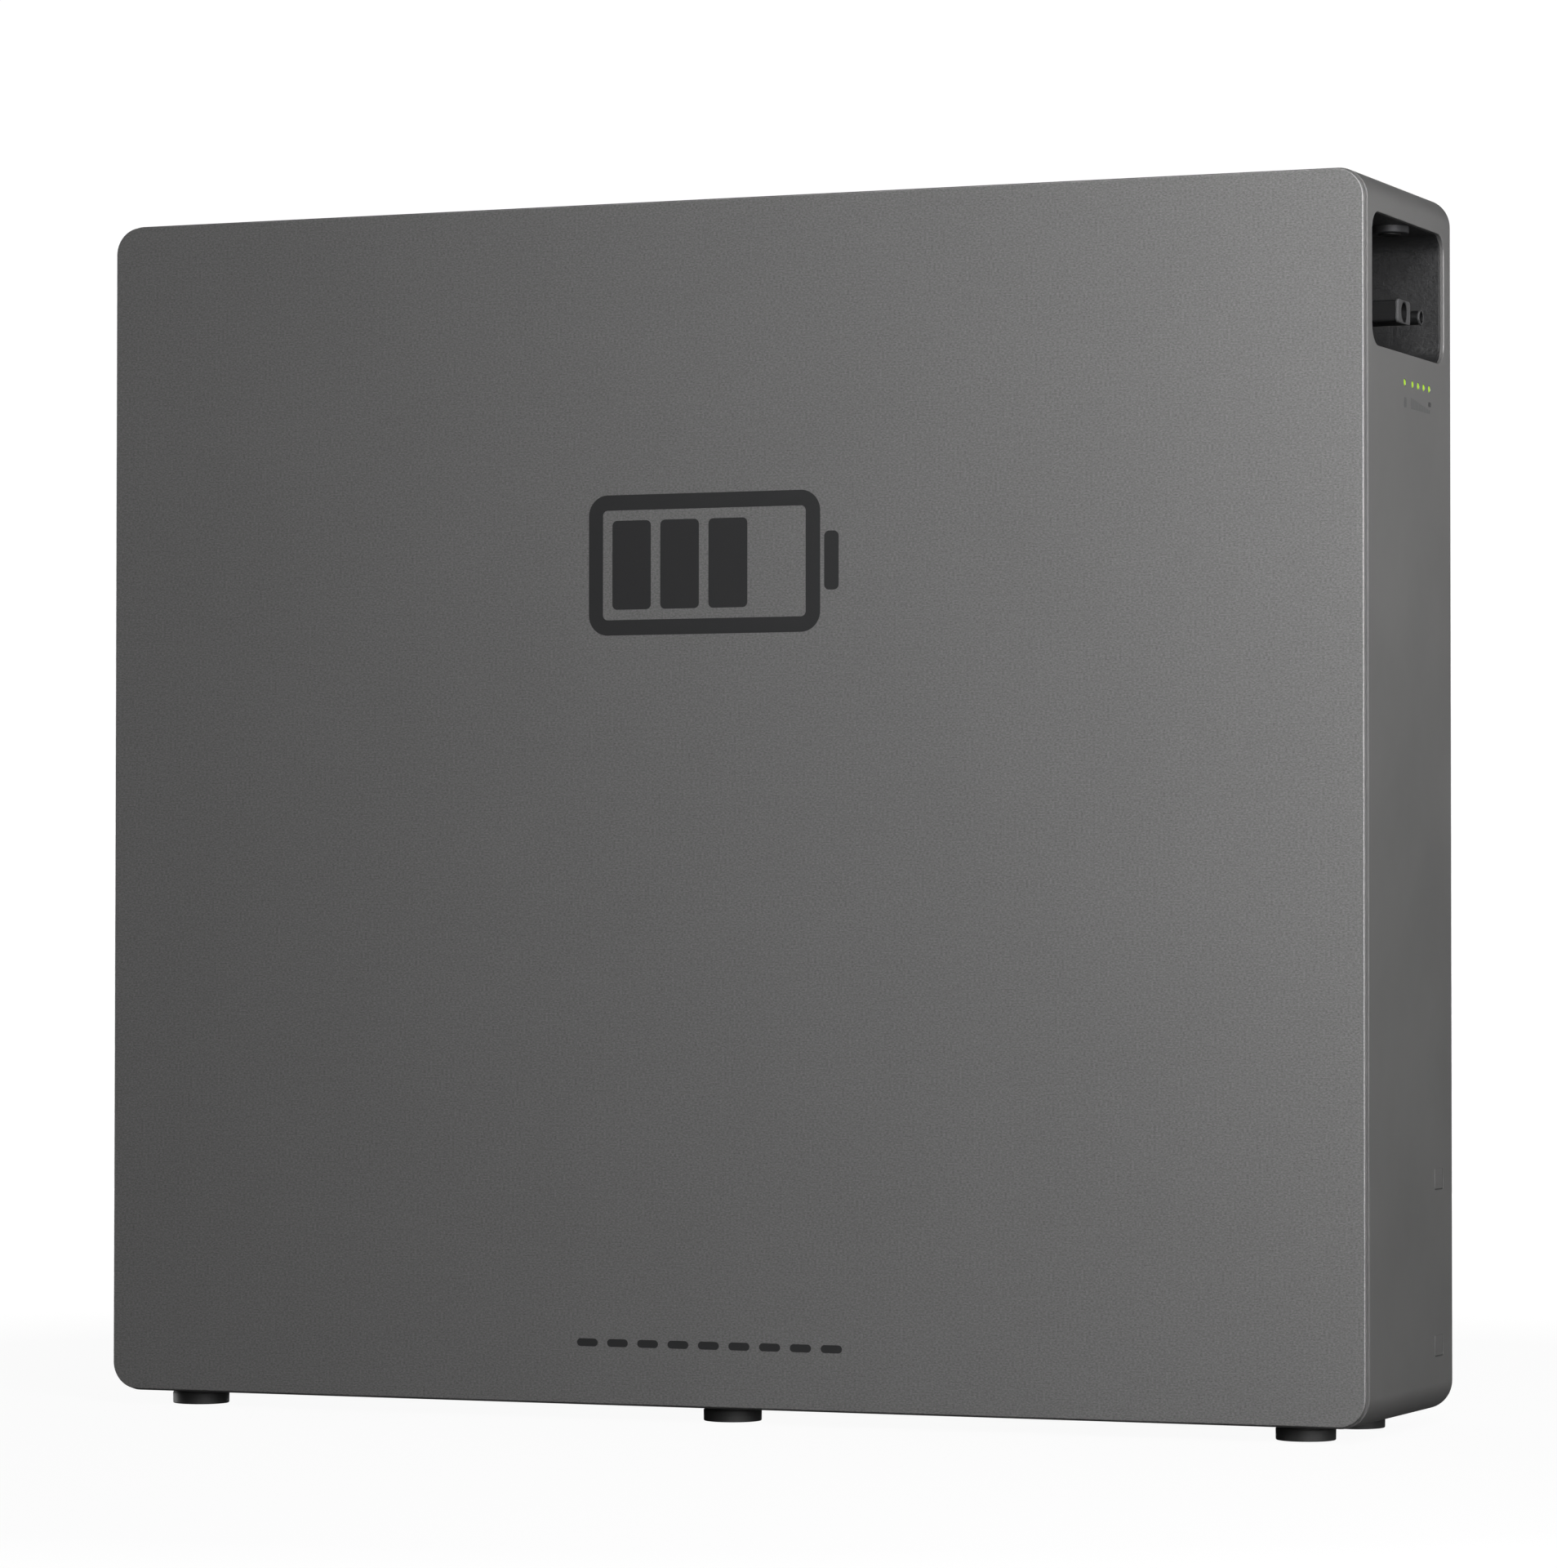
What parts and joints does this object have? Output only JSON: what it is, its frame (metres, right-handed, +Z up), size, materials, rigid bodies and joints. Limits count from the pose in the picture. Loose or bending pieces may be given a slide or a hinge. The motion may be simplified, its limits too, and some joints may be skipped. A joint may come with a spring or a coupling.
{
  "type": "battery unit",
  "caption": "Floor-standing home battery: a slab-shaped grey metal casing on rubber feet, with a recessed connector pocket, push button and charge lights in its right end.",
  "frame": {"origin": "on the floor, under the centre of the casing's width and depth", "axes": "+Z up, front panel faces -Y, the connector pocket is on the +X end"},
  "size_m": [0.788, 0.168, 0.7105],
  "materials": {
    "front_metal": "satin",
    "casing_metal": "satin",
    "back_metal": "satin",
    "black_plastic": "matte",
    "foot_rubber": "matte",
    "seal_rubber": "matte",
    "zinc": "satin",
    "steel": "satin",
    "brass": "satin",
    "light_lens": "gloss",
    "circuit_board": "satin",
    "cell_wrap": "satin",
    "carrier_plastic": "matte",
    "relay_plastic": "satin",
    "fuse_ceramic": "satin",
    "red_cable": "satin",
    "black_cable": "satin",
    "print_ink": "matte"
  },
  "bodies": {
    "unit": {"base_rail_front": "steel", "base_rail_rear": "steel", "breather_vent": "black_plastic", "busbar_plate_1": "carrier_plastic", "busbar_plate_2": "carrier_plastic", "busbar_plate_3": "carrier_plastic", "busbar_plate_4": "carrier_plastic", "button_bezel": "steel", "button_nut": "steel", "button_spring": "steel", "casing_wrap": "casing_metal", "cell_module_1": "cell_wrap", "cell_module_2": "cell_wrap", "cell_module_3": "cell_wrap", "cell_module_4": "cell_wrap", "comm_cable": "black_cable", "comm_socket_body": "black_plastic", "comm_socket_pins": "brass", "comm_socket_ring": "zinc", "control_plate": "steel", "earth_stud": "steel", "foot_front_left": "foot_rubber", "foot_front_middle": "foot_rubber", "foot_front_right": "foot_rubber", "foot_rear_left": "foot_rubber", "foot_rear_middle": "foot_rubber", "foot_rear_right": "foot_rubber", "foot_screw_front_left": "steel", "foot_screw_front_middle": "steel", "foot_screw_front_right": "steel", "foot_screw_rear_left": "steel", "foot_screw_rear_middle": "steel", "foot_screw_rear_right": "steel", "front_gasket": "seal_rubber", "front_panel": "front_metal", "left_pocket_tray": "black_plastic", "light_board": "circuit_board", "light_pipe_charge_1": "light_lens", "light_pipe_charge_2": "light_lens", "light_pipe_charge_3": "light_lens", "light_pipe_charge_4": "light_lens", "light_pipe_status": "light_lens", "main_fuse": "fuse_ceramic", "management_board": "circuit_board", "output_cable_negative": "black_cable", "output_cable_positive": "red_cable", "power_socket_body": "black_plastic", "power_socket_contacts": "brass", "power_socket_face": "zinc", "power_switch": "black_plastic", "rear_gasket": "seal_rubber", "rear_panel": "back_metal", "relay_negative": "relay_plastic", "relay_positive": "relay_plastic", "right_pocket_tray": "black_plastic", "side_frame_left": "steel", "side_frame_right": "steel", "window_plug_lower": "casing_metal", "window_plug_upper": "casing_metal"},
    "power_button": {"power_button": "black_plastic"}
  },
  "joints": [
    {"name": "power_button_press", "type": "slide", "parent": "unit", "child": "power_button", "axis": [0, 0, 1], "range_m": [0, 0.002], "stiffness_N_per_m": 1200, "springref_m": -0.002, "deforming": ["button_spring"]}
  ]
}
